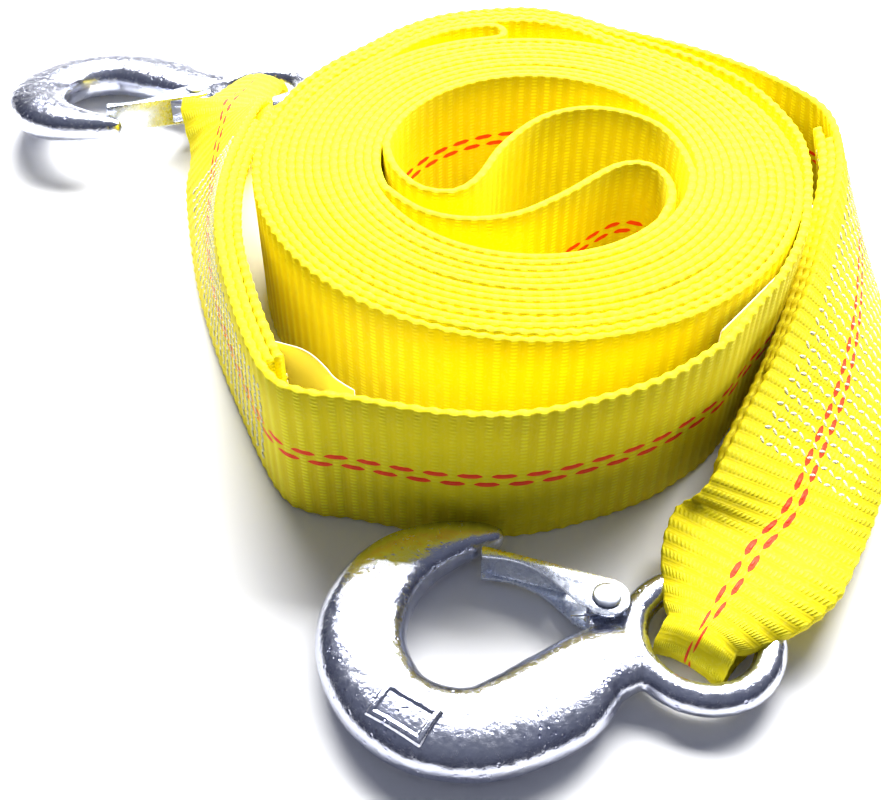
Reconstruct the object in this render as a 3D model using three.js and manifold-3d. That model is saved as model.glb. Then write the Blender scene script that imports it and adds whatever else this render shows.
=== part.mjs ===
// A two inch webbing tow strap with an eye slip hook at each end, lying as it was laid down:
// the doubled strap is wound on edge round an S shaped middle, and both hooks lie flat.
// Millimetres, X to the right, Y away from the front hook, Z up from the floor.
import * as THREE from "three";
import { mergeVertices } from "three/addons/utils/BufferGeometryUtils.js";
import Module from "manifold-3d";

const wasm = await Module();
wasm.setup();

// webbing
const WEB_WIDTH = 50.8;
const WEB_THICK = 2.35;
const PLY_GAP = 0.4; // between sewn plies
const LAYER_GAP = 0.45; // between the turns of the coil
const PLY_PITCH = WEB_THICK + PLY_GAP;
const LAYER_PITCH = WEB_THICK + LAYER_GAP;
const HALF_WEB = WEB_WIDTH / 2;

// coil
const COIL_X = 26.9;
const COIL_Y = 326.5;
const BORE_RADIUS = 47.9;
const BORE_BULGE = 5.3; // the bore is wider towards the back right
const BULGE_ANGLE = 45;
const STRANDS = 4; // two doubled lengths wind in side by side
const STEP_ANGLE = 10;
const PAIR_P_START = 165; // where the pair that leads to the hooks leaves the bore wall
const PAIR_Q_START = -15;
const BIGHT_TURN = 970; // angle wound by the folded pair, to its fold
const BIGHT_RADIUS = 4.9;
const BIGHT_LIFT = 2 * BIGHT_RADIUS - LAYER_PITCH;
const LIFT_FROM = 935;
const LIFT_TO = 962;
const SETTLE_FROM = 1158; // the hook pair drops off the end of the fold
const SETTLE_TO = 1187;
const PAIR_P_TURN = 1535; // angle wound by the hook pair before it leaves the coil

// hooks
const HOOK_HALF = 7.5; // half of the bowl's thickness
const RING_RADIUS = 18;
const RING_BAR = 4.3;
const EYE_FRONT = [68.5, 173.0, HOOK_HALF];
const EYE_REAR = [-74.6, 432.5, 13.2]; // the stiff loop holds the rear hook's throat side up
const REAR_YAW = 3;
const REAR_TILT = -11;

// latch
const PIVOT = [-RING_RADIUS - 6.4, 9.8];
const LATCH_TIP = [PIVOT[0] - 32.6, PIVOT[1] + 16.5];
const CHEEK_RADIUS = 6.1;
const LATCH_HALF = 5.6;
const SHEET = 1.2;
const RIVET_RADIUS = 2.4;
const RIVET_HEAD = 3.9;
const HEAD_RISE = 1.2;
const HOLE_FIT = 0.35;
const LUG_HALF = 2.2;

const rad = THREE.MathUtils.degToRad;
const fade = (x, from, to) => {
  const t = Math.min(1, Math.max(0, (x - from) / (to - from)));
  return (1 - Math.cos(Math.PI * t)) / 2;
};

// How many layer pitches a strand lies outside the bore wall after winding through an angle.
function hookPairLayer(turned) {
  const full = turned / (360 / STRANDS);
  if (turned <= LIFT_FROM + 180) return full;
  if (turned <= LIFT_FROM + 540) {
    const over = 1 - fade(turned, SETTLE_FROM, SETTLE_TO);
    const lift = (BIGHT_LIFT / LAYER_PITCH) * fade(turned, LIFT_FROM + 180, LIFT_TO + 180);
    return hookPairLayer(turned - 360) + 2 + (2 + lift) * over;
  }
  return hookPairLayer(turned - 360) + 2;
}

const foldPairLayer = (turned, outer) =>
  turned / (360 / STRANDS) + (outer ? (BIGHT_LIFT / LAYER_PITCH) * fade(turned, LIFT_FROM, LIFT_TO) : 0);

function wallPoint(angle, layer) {
  const a = rad(angle);
  const r = BORE_RADIUS + BORE_BULGE * Math.cos(rad(angle - BULGE_ANGLE)) + LAYER_PITCH * layer;
  return [COIL_X + r * Math.cos(a), COIL_Y + r * Math.sin(a), HALF_WEB];
}

// One strand on the coil from its start angle outwards; slot 0 is the inner one of its pair.
function strand(start, from, to, slot, layerOf) {
  const points = [];
  const first = Math.ceil(from / STEP_ANGLE) * STEP_ANGLE;
  const turns = [from];
  for (let t = first > from + 3 ? first : first + STEP_ANGLE; t < to - 3; t += STEP_ANGLE) turns.push(t);
  turns.push(to);
  for (const t of turns) points.push(wallPoint(start - t, layerOf(t, slot === 1) + slot + 0.5));
  return points;
}

function smooth(points, count) {
  const curve = new THREE.CatmullRomCurve3(points.map((p) => new THREE.Vector3(...p)), false, "centripetal");
  return curve.getSpacedPoints(count).map((p) => [p.x, p.y, p.z]);
}

const upright = (points) =>
  points.map((p) => ({ c: new THREE.Vector3(p[0], p[1], p[2] ?? HALF_WEB), h: new THREE.Vector3(0, 0, HALF_WEB) }));

// The two strands that cross the bore, from the left wall to the right wall.
const upperCross = [[-16.6, 329.8], [-12.8, 321], [-5.6, 313.2], [4.0, 311.6], [11.5, 318.2], [20.1, 336.4],
  [27.3, 347.1], [35.2, 355.2], [44.5, 359.6], [54.3, 360.6], [65.1, 357.2], [74.6, 349.6], [80.0, 336.8]];
const lowerCross = [[-12.1, 307.3], [-5.5, 301.6], [3.6, 298], [14.7, 297.6], [25.1, 300.5], [35.5, 307.3],
  [42.9, 313.2], [50.6, 320.3], [58.3, 326.2], [65.4, 327.6], [70.9, 324.4], [73.6, 317], [73.2, 308]];

// The outer lengths, from the coil round to the two legs.
const outerFront = [[-27, 220.4], [-17.8, 218.2], [-9.1, 216.2], [-0.4, 214.6], [8.2, 213.8], [16.7, 213.7],
  [25.5, 214.6], [34.3, 216.6], [43.2, 219.6], [52.3, 223], [61.7, 227.8], [70.8, 234.4], [80.4, 242.8], [92.2, 259.2]];
const outerRight = [[-37, 92.6], [-22, 91.4], [-9, 91.4], [0, 93], [12, 95.6], [30, 96.8], [45, 95], [55, 93.6]];
const legStart = [[58, 97.8], [48, 100.4], [41, 102.6]];

const around = ([angle, r]) => [COIL_X + r * Math.cos(rad(angle)), COIL_Y + r * Math.sin(rad(angle)), HALF_WEB];

// Both legs as the upper and lower edge of the outermost ply, from the coil to the ring.
const frontLegEdges = [
  [[113.2, 386.4, 50.8], [114.6, 389, 0.1]],
  [[124.5, 374.6, 50.6], [131, 381.6, 0.8]],
  [[133, 361.5, 50.2], [145.5, 368, 1.8]],
  [[134.4, 345, 49.4], [151.5, 349, 2.6]],
  [[130.6, 325, 47.4], [152.8, 327, 3.4]],
  [[122.6, 303, 43.4], [150.5, 301.4, 4.6]],
  [[113, 280, 38.6], [146, 275, 5.6]],
  [[100, 256.4, 32], [140, 248.6, 6.6]],
  [[87, 235, 26.6], [130, 225, 7.2]],
  [[74, 214, 21], [119, 203.6, 7.6]],
];
const rearLegEdges = [
  [[-49, 232.4, 50.8], [-49, 232.4, 0]],
  [[-52.8, 241, 50.8], [-53.4, 240.8, 0.2]],
  [[-59.8, 260.6, 50.7], [-62, 260, 0.6]],
  [[-67.6, 289.6, 50.4], [-73.6, 287.8, 1.4]],
  [[-70.4, 319.6, 49.6], [-83.6, 316.6, 2.6]],
  [[-69.2, 349.8, 46.6], [-91, 345.6, 4.4]],
  [[-67.2, 376, 42], [-96.4, 372, 8]],
  [[-67, 392, 37], [-97, 388, 13]],
];

const edgeStation = ([top, bottom]) => {
  const a = new THREE.Vector3(...top);
  const b = new THREE.Vector3(...bottom);
  return { c: a.clone().add(b).multiplyScalar(0.5), h: a.clone().sub(b).multiplyScalar(0.5) };
};

function smoothStations(stations, count) {
  const centres = new THREE.CatmullRomCurve3(stations.map((s) => s.c), false, "centripetal");
  const halves = new THREE.CatmullRomCurve3(stations.map((s) => s.h.clone().multiplyScalar(10)), false, "catmullrom");
  const out = [];
  for (let i = 0; i <= count; i++) {
    out.push({ c: centres.getPoint(i / count), h: halves.getPoint(i / count).multiplyScalar(0.1) });
  }
  return out;
}

function normals(stations) {
  return stations.map((s, i) => {
    const before = stations[Math.max(0, i - 1)].c;
    const after = stations[Math.min(stations.length - 1, i + 1)].c;
    return s.h.clone().cross(after.clone().sub(before)).normalize();
  });
}

function offset(stations, distance) {
  const n = normals(stations);
  return stations.map((s, i) => ({ c: s.c.clone().addScaledVector(n[i], distance), h: s.h.clone() }));
}

// The passage over the ring's bar, round in its hole and back below it, about the ring's middle.
const BAR_CLEAR = RING_BAR + PLY_GAP + WEB_THICK / 2;
const LOOP_CENTRE = 0.6;
const LOOP_HALF = 10;
const LOOP_STEPS = 8;
const ringStops = [-31, -25, -20, -14, -8, -2];
const gathered = [20.5, 16, 13, 12, 11, LOOP_HALF]; // half widths at the stops

function loopStations(frame, toward) {
  const u = new THREE.Vector3(toward[0], toward[1], 0).normalize();
  const v = new THREE.Vector3(u.y, -u.x, 0);
  const at = (s, z, half) => ({
    c: u.clone().multiplyScalar(s).setZ(z).applyMatrix4(frame),
    h: v.clone().transformDirection(frame).multiplyScalar(half) });
  const over = ringStops.map((s, i) => at(s, BAR_CLEAR, gathered[i]));
  const under = ringStops.map((s, i) => at(s, -BAR_CLEAR, gathered[i])).reverse().slice(0, 5);
  const turn = [];
  for (let i = 0; i <= LOOP_STEPS; i++) {
    const a = (Math.PI * i) / LOOP_STEPS;
    turn.push(at(LOOP_CENTRE + BAR_CLEAR * Math.sin(a), BAR_CLEAR * Math.cos(a), LOOP_HALF));
  }
  return { over, turn, under };
}

// A leg's plies: the outer one, the short strip sewn in the middle and the one that comes back.
function leg(edges, frame, toward, count, tail, strip) {
  const loop = loopStations(frame, toward);
  const shaped = smoothStations([...edges.map(edgeStation), loop.over[0], loop.over[1]], count);
  const outer = [...shaped, ...loop.over.slice(2), ...loop.turn];
  const inner = offset(shaped, -2 * PLY_PITCH).slice(tail, -5);
  const middle = offset(shaped, -PLY_PITCH).slice(strip, -7);
  const back = smoothStations([loop.under.at(-1), ...inner.slice(-3).reverse()], 5).slice(1, -1);
  return { outer, returned: [...loop.under, ...back, ...inner.slice(0, -2).reverse()], middle };
}

const frontFrame = new THREE.Matrix4().makeTranslation(...EYE_FRONT);
const rearFrame = new THREE.Matrix4().makeTranslation(...EYE_REAR)
  .multiply(new THREE.Matrix4().makeRotationZ(rad(REAR_YAW)))
  .multiply(new THREE.Matrix4().makeRotationX(rad(REAR_TILT)));
const frontLeg = leg(frontLegEdges, frontFrame, [-0.59, -0.81], 26, 6, 7);
const rearLeg = leg(rearLegEdges, rearFrame, [0.29, 0.956], 24, 0, 0);

// From the front hook's returned end right through to the rear hook's.
function strapPath() {
  const outerP = strand(PAIR_P_START, -30, PAIR_P_TURN, 1, hookPairLayer);
  const innerP = strand(PAIR_P_START, 0, PAIR_P_TURN, 0, hookPairLayer);
  const outerQ = strand(PAIR_Q_START, -10, BIGHT_TURN, 1, foldPairLayer);
  const innerQ = strand(PAIR_Q_START, 20, BIGHT_TURN, 0, foldPairLayer);
  const a = innerQ.at(-1);
  const b = outerQ.at(-1);
  const mid = [(a[0] + b[0]) / 2, (a[1] + b[1]) / 2];
  const fold = [];
  for (let i = 1; i < 6; i++) {
    const t = (Math.PI * i) / 6;
    const out = [(a[0] - mid[0]) * Math.cos(t), (a[1] - mid[1]) * Math.cos(t)];
    const side = [(b[1] - mid[1]) * Math.sin(t), -(b[0] - mid[0]) * Math.sin(t)];
    fold.push([mid[0] + out[0] + side[0], mid[1] + out[1] + side[1], HALF_WEB]);
  }
  const lead = smooth([...outerP.slice(-2), ...legStart.map(around)], 9).slice(2);
  const round = smooth([...innerP.slice(-2), ...[...outerRight].reverse().map(around),
    ...[...outerFront].reverse().map((p) => [...p, HALF_WEB]), [-36, 221.6, HALF_WEB], [-43.6, 225.2, HALF_WEB]], 62);
  const cross = (points, from, to, count) =>
    smooth([from, ...points.map((p) => [...p, HALF_WEB]), to], count).slice(1, -1);
  const lower = cross(lowerCross, outerP[0], innerQ[0], 34);
  const upper = cross(upperCross, innerP[0], outerQ[0], 34);
  const flat = [
    ...lead.reverse(), ...outerP.slice(0, -1).reverse(), ...lower, ...innerQ, ...fold,
    ...outerQ.slice().reverse(), ...upper.reverse(), ...innerP.slice(0, -1), ...round.slice(4),
  ];
  return [
    ...frontLeg.returned.toReversed(), ...against(frontLeg.outer.toReversed()), ...upright(flat),
    ...rearLeg.outer, ...against(rearLeg.returned),
  ];
}

// The lengths that run towards the coil: their faces are split along the other diagonal, so that
// a twisted ply and its neighbour, which runs the other way, stay parallel.
const against = (stations) => stations.map((s) => ({ ...s, inward: true }));

function ribbon(stations, thick = WEB_THICK) {
  const n = normals(stations);
  const vertices = [];
  const faces = [];
  stations.forEach((s, i) => {
    for (const [w, t] of [[-1, -1], [1, -1], [1, 1], [-1, 1]]) {
      const p = s.c.clone().addScaledVector(s.h, w).addScaledVector(n[i], (t * thick) / 2);
      vertices.push(p.x, p.y, p.z);
    }
  });
  for (let i = 0; i + 1 < stations.length; i++) {
    for (let k = 0; k < 4; k++) {
      const [a, b] = [4 * i + k, 4 * i + ((k + 1) % 4)];
      if ((k === 0) === !stations[i].inward) faces.push(a, b + 4, b, a, a + 4, b + 4);
      else faces.push(a, a + 4, b, a + 4, b + 4, b);
    }
  }
  const end = 4 * (stations.length - 1);
  faces.push(0, 1, 2, 0, 2, 3, end, end + 2, end + 1, end, end + 3, end + 2);
  const geometry = new THREE.BufferGeometry();
  geometry.setAttribute("position", new THREE.Float32BufferAttribute(vertices, 3));
  geometry.setIndex(faces);
  return geometry;
}

function toManifold(geometry) {
  const bare = geometry.clone();
  bare.deleteAttribute("normal");
  bare.deleteAttribute("uv");
  const merged = mergeVertices(bare, 1e-4);
  return new wasm.Manifold(new wasm.Mesh({
    numProp: 3,
    vertProperties: new Float32Array(merged.attributes.position.array),
    triVerts: new Uint32Array(merged.index.array),
  }));
}

function fromManifold(solid) {
  const mesh = solid.getMesh();
  const geometry = new THREE.BufferGeometry();
  geometry.setAttribute("position", new THREE.BufferAttribute(new Float32Array(mesh.vertProperties), 3));
  geometry.setIndex([...mesh.triVerts]);
  return geometry;
}

const unite = (...geometries) => fromManifold(geometries.map(toManifold).reduce((a, b) => a.add(b)));
const cut = (base, ...tools) => fromManifold(tools.map(toManifold).reduce((a, b) => a.subtract(b), toManifold(base)));

function post(x, y, radius, low, high, sides = 24) {
  return new THREE.CylinderGeometry(radius, radius, high - low, sides)
    .rotateX(Math.PI / 2).translate(x, y, (low + high) / 2);
}

function plate(outline, low, high) {
  const shape = new THREE.Shape(outline.map((p) => new THREE.Vector2(...p)));
  return new THREE.ExtrudeGeometry(shape, { depth: high - low, bevelEnabled: false }).translate(0, 0, low);
}

// Shank, bowl and point of the hook: x from the ring's bar, y, half width in plan, half thickness.
const hookRun = [
  [2.5, -4.5, 7.5, 4.2], [-2.2, -5.9, 9.2, 5.2], [-11.2, -9.4, 11.2, 6.2], [-20.8, -17.6, 13.3, 7],
  [-32, -24, 12.9, HOOK_HALF], [-42.2, -27.3, 12, HOOK_HALF], [-54.2, -25.7, 11.8, HOOK_HALF], [-64.3, -18.6, 11.7, HOOK_HALF],
  [-70.7, -5.7, 12, HOOK_HALF], [-70.8, 6.5, 12, 7.4], [-66, 18, 11, 7.2], [-58.5, 25.8, 9.5, 6.6],
  [-49.2, 30.6, 7.2, 5.8], [-40.7, 32.9, 5, 4.8], [-34.6, 33.6, 3.1, 3.4],
];
const HOOK_STEPS = 34;
const HOOK_SIDES = 14;
const SQUARENESS = 0.8; // rounder at 1, squarer below it

function hookBar() {
  const line = new THREE.CatmullRomCurve3(hookRun.map((r) => new THREE.Vector3(r[0] - RING_RADIUS, r[1], 0)), false, "catmullrom");
  const size = new THREE.CatmullRomCurve3(hookRun.map((r) => new THREE.Vector3(r[2], r[3], 0)), false, "catmullrom");
  const vertices = [];
  const faces = [];
  for (let i = 0; i <= HOOK_STEPS; i++) {
    const p = line.getPoint(i / HOOK_STEPS);
    const t = line.getTangent(i / HOOK_STEPS);
    const s = size.getPoint(i / HOOK_STEPS);
    for (let k = 0; k < HOOK_SIDES; k++) {
      const a = (2 * Math.PI * (k + 0.5)) / HOOK_SIDES;
      const [c, d] = [Math.cos(a), Math.sin(a)].map((x) => Math.sign(x) * Math.abs(x) ** SQUARENESS);
      vertices.push(p.x - t.y * s.x * c, p.y + t.x * s.x * c, s.y * d);
    }
  }
  for (let i = 0; i < HOOK_STEPS; i++) {
    for (let k = 0; k < HOOK_SIDES; k++) {
      const [a, b] = [i * HOOK_SIDES + k, i * HOOK_SIDES + ((k + 1) % HOOK_SIDES)];
      faces.push(a, b, b + HOOK_SIDES, a, b + HOOK_SIDES, a + HOOK_SIDES);
    }
  }
  const last = HOOK_STEPS * HOOK_SIDES;
  for (let k = 1; k + 1 < HOOK_SIDES; k++) faces.push(0, k + 1, k, last, last + k, last + k + 1);
  const geometry = new THREE.BufferGeometry();
  geometry.setAttribute("position", new THREE.Float32BufferAttribute(vertices, 3));
  geometry.setIndex(faces);
  return geometry;
}

const aboutPivot = (points) => points.map(([x, y]) => [PIVOT[0] + x, PIVOT[1] + y]);

function hookBody() {
  const ring = new THREE.TorusGeometry(RING_RADIUS, RING_BAR, 14, 44);
  const lug = plate(aboutPivot([[-5.6, -11.8], [6.4, -13.8], [5.8, 0.7], [3.4, 4.2], [-0.6, 5], [-4.2, 2.8], [-5.2, -0.8]]),
    -LUG_HALF, LUG_HALF);
  const bore = post(PIVOT[0], PIVOT[1], RIVET_RADIUS + HOLE_FIT, -10, 10);
  return cut(unite(hookBar(), ring, lug), bore);
}

function latchBody() {
  const outline = [LATCH_TIP, ...aboutPivot([[-32.8, 13.1], [-22.6, 11.4], [-16.6, 7.6], [-11.6, 2.6], [-6.5, -3.4]])];
  for (let i = 0; i <= 10; i++) {
    const a = rad(212 + (i * 224) / 10);
    outline.push([PIVOT[0] + CHEEK_RADIUS * Math.cos(a), PIVOT[1] + CHEEK_RADIUS * Math.sin(a)]);
  }
  const body = plate(outline, -LATCH_HALF, LATCH_HALF);
  const along = new THREE.Vector2(outline.at(-1)[0] - LATCH_TIP[0], outline.at(-1)[1] - LATCH_TIP[1]).normalize();
  const inside = new THREE.Vector2(along.y, -along.x);
  const start = [LATCH_TIP[0] - 4 * along.x + SHEET * inside.x, LATCH_TIP[1] - 4 * along.y + SHEET * inside.y];
  const reach = (d, e) => [start[0] + d * along.x + e * inside.x, start[1] + d * along.y + e * inside.y];
  const hollow = plate([reach(0, 0), reach(0, 40), reach(60, 40), reach(60, -6), reach(29, -6), reach(29, 0)],
    -LATCH_HALF + SHEET, LATCH_HALF - SHEET);
  const bore = post(PIVOT[0], PIVOT[1], RIVET_RADIUS + HOLE_FIT, -10, 10);
  return cut(body, hollow, bore);
}

function rivetBody() {
  const rise = LATCH_HALF + PLY_GAP;
  const top = rise + HEAD_RISE;
  const profile = [[0, -top], [RIVET_HEAD * 0.6, -top + 0.3], [RIVET_HEAD, -rise - 0.7], [RIVET_HEAD, -rise],
    [RIVET_RADIUS, -rise], [RIVET_RADIUS, rise], [RIVET_HEAD, rise], [RIVET_HEAD, rise + 0.7],
    [RIVET_HEAD * 0.6, top - 0.3], [0, top]];
  return new THREE.LatheGeometry(profile.map((p) => new THREE.Vector2(...p)), 24)
    .rotateX(Math.PI / 2).translate(PIVOT[0], PIVOT[1], 0);
}

function springBody() {
  const low = LUG_HALF + 0.35;
  const high = LATCH_HALF - SHEET - 0.35;
  const coil = post(PIVOT[0], PIVOT[1], RIVET_RADIUS + 2, low, high);
  const bore = post(PIVOT[0], PIVOT[1], RIVET_RADIUS + HOLE_FIT, low - 1, high + 1);
  const wire = plate(aboutPivot([[-2.2, -2.9], [-10, -4.1], [-9.8, -5.1], [-0.6, -4.2]]), low, low + 1);
  return cut(unite(coil, wire), bore);
}

const placeFront = (g) => g.applyMatrix4(frontFrame);
const placeRear = (g) => g.rotateX(Math.PI).applyMatrix4(rearFrame); // the rear hook lies the other way up

// Sewn-in labels stand on edge between the coil and the outer length.
function label(points) {
  return ribbon(smooth(points.map((p) => [...p, LABEL_MIDDLE]), 8)
    .map((p) => ({ c: new THREE.Vector3(...p), h: new THREE.Vector3(0, 0, LABEL_HALF) })), LABEL_THICK);
}
const LABEL_THICK = 0.6;
const LABEL_HALF = 20;
const LABEL_MIDDLE = HALF_WEB + 2.6;
const rearLabel = () => label([[-23.2, 225], [-28.6, 229.6], [-32.6, 235.4], [-38, 240.8], [-46.4, 244.3]]);
const frontLabel = () => label([[-56, 94], [-50, 91.8], [-44, 90.6], [-36, 90.6]].map((p) => around(p).slice(0, 2)));

const paint = (color, roughness, metalness) => new THREE.MeshStandardMaterial({ color, roughness, metalness });
const webbing = () => paint("#f2e500", 0.85, 0);
const zinc = () => paint("#b9bdc6", 0.35, 1);
const pressed = () => paint("#c9ced6", 0.3, 1);

const pieces = [
  ["strap", ribbon(strapPath()), webbing()],
  ["front_doubling_strip", ribbon(frontLeg.middle), webbing()],
  ["rear_doubling_strip", ribbon(rearLeg.middle), webbing()],
  ["front_label", frontLabel(), paint("#f3efe0", 0.8, 0)],
  ["rear_label", rearLabel(), paint("#f3efe0", 0.8, 0)],
  ["front_hook", placeFront(hookBody()), zinc()],
  ["rear_hook", placeRear(hookBody()), zinc()],
  ["front_latch", placeFront(latchBody()), pressed()],
  ["rear_latch", placeRear(latchBody()), pressed()],
  ["front_rivet", placeFront(rivetBody()), pressed()],
  ["rear_rivet", placeRear(rivetBody()), pressed()],
  ["front_latch_spring", placeFront(springBody()), pressed()],
  ["rear_latch_spring", placeRear(springBody()), pressed()],
];

const object = new THREE.Group();
const room = new THREE.Box3();
for (const [, geometry] of pieces) {
  geometry.computeBoundingBox();
  room.union(geometry.boundingBox);
}
const middle = room.getCenter(new THREE.Vector3());
for (const [name, geometry, material] of pieces) {
  geometry.translate(-middle.x, -middle.y, -room.min.z);
  geometry.computeVertexNormals();
  const mesh = new THREE.Mesh(geometry, material);
  mesh.name = name;
  object.add(mesh);
}
export default object;
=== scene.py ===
"""A two inch webbing tow strap with a slip hook at each end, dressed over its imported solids."""
import math
from functools import lru_cache

import bmesh
import bpy
from mathutils import Matrix, Vector, noise


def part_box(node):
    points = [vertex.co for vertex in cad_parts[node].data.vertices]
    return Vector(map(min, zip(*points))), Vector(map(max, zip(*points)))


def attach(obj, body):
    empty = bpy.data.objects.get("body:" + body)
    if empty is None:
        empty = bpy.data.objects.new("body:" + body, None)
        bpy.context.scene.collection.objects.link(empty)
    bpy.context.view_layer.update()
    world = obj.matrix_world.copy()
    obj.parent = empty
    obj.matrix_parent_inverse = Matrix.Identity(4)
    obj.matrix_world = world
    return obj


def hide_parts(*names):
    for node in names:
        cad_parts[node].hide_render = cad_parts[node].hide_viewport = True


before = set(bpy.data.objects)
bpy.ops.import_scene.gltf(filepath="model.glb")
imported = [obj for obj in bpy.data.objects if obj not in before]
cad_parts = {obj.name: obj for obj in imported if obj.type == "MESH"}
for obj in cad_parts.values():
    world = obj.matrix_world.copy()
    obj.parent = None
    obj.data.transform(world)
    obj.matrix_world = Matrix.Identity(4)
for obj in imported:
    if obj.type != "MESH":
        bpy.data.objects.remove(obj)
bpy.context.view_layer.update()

bl_info = {
    "name": "Tow strap",
    "version": (1, 0, 0),
    "blender": (4, 5, 0),
    "location": "3D View > Sidebar > Tow strap",
    "description": "Builds a coiled webbing tow strap with two slip hooks",
    "category": "Object",
}

MM = 0.001

# Webbing. All lengths are in millimetres, down to the stage.
WEB_WIDTH = 50.8
WEB_THICK = 2.35
PLY_GAP = 0.4
LAYER_PITCH = WEB_THICK + 0.45
PLY_PITCH = WEB_THICK + PLY_GAP
HALF_WEB = WEB_WIDTH / 2
OUTER_STATIONS = 50  # of the outermost layers, whose outer face shows no tracer

# Coil
COIL_X, COIL_Y = 26.9, 326.5
BORE_RADIUS = 47.9
BORE_BULGE, BULGE_ANGLE = 5.3, 45
STEP_ANGLE = 10
PAIR_P_START, PAIR_Q_START = 165, -15
BIGHT_TURN = 970
BIGHT_RADIUS = 4.9
BIGHT_LIFT = 2 * BIGHT_RADIUS - LAYER_PITCH
LIFT_FROM, LIFT_TO = 935, 962
SETTLE_FROM, SETTLE_TO = 1158, 1187
PAIR_P_TURN = 1535

# Hooks
HOOK_HALF = 7.5
RING_RADIUS = 18
RING_BAR = 4.3
EYE_FRONT = Vector((68.5, 173.0, HOOK_HALF))
EYE_REAR = Vector((-74.6, 432.5, 13.2))
REAR_YAW, REAR_TILT = 3, -11
PIVOT = Vector((-24.4, 9.8, 0.0))
LATCH_TIP = Vector((-57.0, 26.3, 0.0))
CHEEK_RADIUS = 6.1
LATCH_HALF = 5.6
SHEET = 1.2
RIVET_RADIUS = 2.4
RIVET_HEAD = 3.9
HEAD_RISE = 1.2
LUG_HALF = 2.2

UPPER_CROSS = [(-16.6, 329.8), (-12.8, 321), (-5.6, 313.2), (4.0, 311.6), (11.5, 318.2), (20.1, 336.4),
               (27.3, 347.1), (35.2, 355.2), (44.5, 359.6), (54.3, 360.6), (65.1, 357.2), (74.6, 349.6),
                (80.0, 336.8)]
LOWER_CROSS = [(-12.1, 307.3), (-5.5, 301.6), (3.6, 298), (14.7, 297.6), (25.1, 300.5), (35.5, 307.3),
               (42.9, 313.2), (50.6, 320.3), (58.3, 326.2), (65.4, 327.6), (70.9, 324.4), (73.6, 317), (73.2, 308)]
OUTER_FRONT = [(-27, 220.4), (-17.8, 218.2), (-9.1, 216.2), (-0.4, 214.6), (8.2, 213.8), (16.7, 213.7),
               (25.5, 214.6), (34.3, 216.6), (43.2, 219.6), (52.3, 223), (61.7, 227.8), (70.8, 234.4),
               (80.4, 242.8), (92.2, 259.2)]
OUTER_RIGHT = [(-37, 92.6), (-22, 91.4), (-9, 91.4), (0, 93), (12, 95.6), (30, 96.8), (45, 95), (55, 93.6)]
LEG_START = [(58, 97.8), (48, 100.4), (41, 102.6)]
LEG_TURN_IN = [(-36, 221.6), (-43.6, 225.2)]
FRONT_LEG_EDGES = [
    ((113.2, 386.4, 50.8), (114.6, 389, 0.1)), ((124.5, 374.6, 50.6), (131, 381.6, 0.8)),
    ((133, 361.5, 50.2), (145.5, 368, 1.8)), ((134.4, 345, 49.4), (151.5, 349, 2.6)),
    ((130.6, 325, 47.4), (152.8, 327, 3.4)), ((122.6, 303, 43.4), (150.5, 301.4, 4.6)),
    ((113, 280, 38.6), (146, 275, 5.6)), ((100, 256.4, 32), (140, 248.6, 6.6)),
    ((87, 235, 26.6), (130, 225, 7.2)), ((74, 214, 21), (119, 203.6, 7.6))]
REAR_LEG_EDGES = [
    ((-49, 232.4, 50.8), (-49, 232.4, 0)), ((-52.8, 241, 50.8), (-53.4, 240.8, 0.2)),
    ((-59.8, 260.6, 50.7), (-62, 260, 0.6)), ((-67.6, 289.6, 50.4), (-73.6, 287.8, 1.4)),
    ((-70.4, 319.6, 49.6), (-83.6, 316.6, 2.6)), ((-69.2, 349.8, 46.6), (-91, 345.6, 4.4)),
    ((-67.2, 376, 42), (-96.4, 372, 8)), ((-67, 392, 37), (-97, 388, 13))]
BAR_CLEAR = RING_BAR + PLY_GAP + WEB_THICK / 2
LOOP_CENTRE = 0.6
LOOP_HALF = 10
LOOP_STEPS = 8
RING_STOPS = (-31, -25, -20, -14, -8, -2)
FRONT_OVER = (24.8, 24.2, 23, 20.5, 16.5, 12.5)
GATHERED = (20.5, 16, 13, 12, 11, LOOP_HALF)

# Shank, bowl and point of the hook: x, y, half width in plan, half thickness.
HOOK_RUN = [
    (-15.5, -4.5, 7.5, 4.2), (-20.2, -5.9, 9.2, 5.2), (-29.2, -9.4, 11.2, 6.2), (-38.8, -17.6, 13.3, 7.0),
    (-50, -24, 12.9, 7.5), (-60.2, -27.3, 12, 7.5), (-72.2, -25.7, 11.8, 7.5), (-82.3, -18.6, 11.7, 7.5),
    (-88.7, -5.7, 12, 7.5), (-88.8, 6.5, 12, 7.4), (-84, 18, 11, 7.2), (-76.5, 25.8, 9.5, 6.6),
    (-67.2, 30.6, 7.2, 5.8), (-58.7, 32.9, 5, 4.8), (-52.6, 33.6, 3.1, 3.4)]
SQUARENESS = 0.8

REAR_LABEL = [(-23.2, 225), (-28.6, 229.6), (-32.6, 235.4), (-38, 240.8), (-46.4, 244.3)]
FRONT_LABEL = [(-56, 94), (-50, 91.8), (-44, 90.6), (-36, 90.6)]
LABEL_LOW, LABEL_HIGH = 8, 48

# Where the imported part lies: the way from the drawing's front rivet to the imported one.
_low, _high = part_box("front_rivet")
SHIFT = (Vector(_low) + Vector(_high)) / (2 * MM) - (EYE_FRONT + PIVOT)


def settings(group):
    return getattr(bpy.context.scene, "tow_strap_" + group)


# Curves
def fade(x, start, end):
    t = min(1.0, max(0.0, (x - start) / (end - start)))
    return (1 - math.cos(math.pi * t)) / 2


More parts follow.
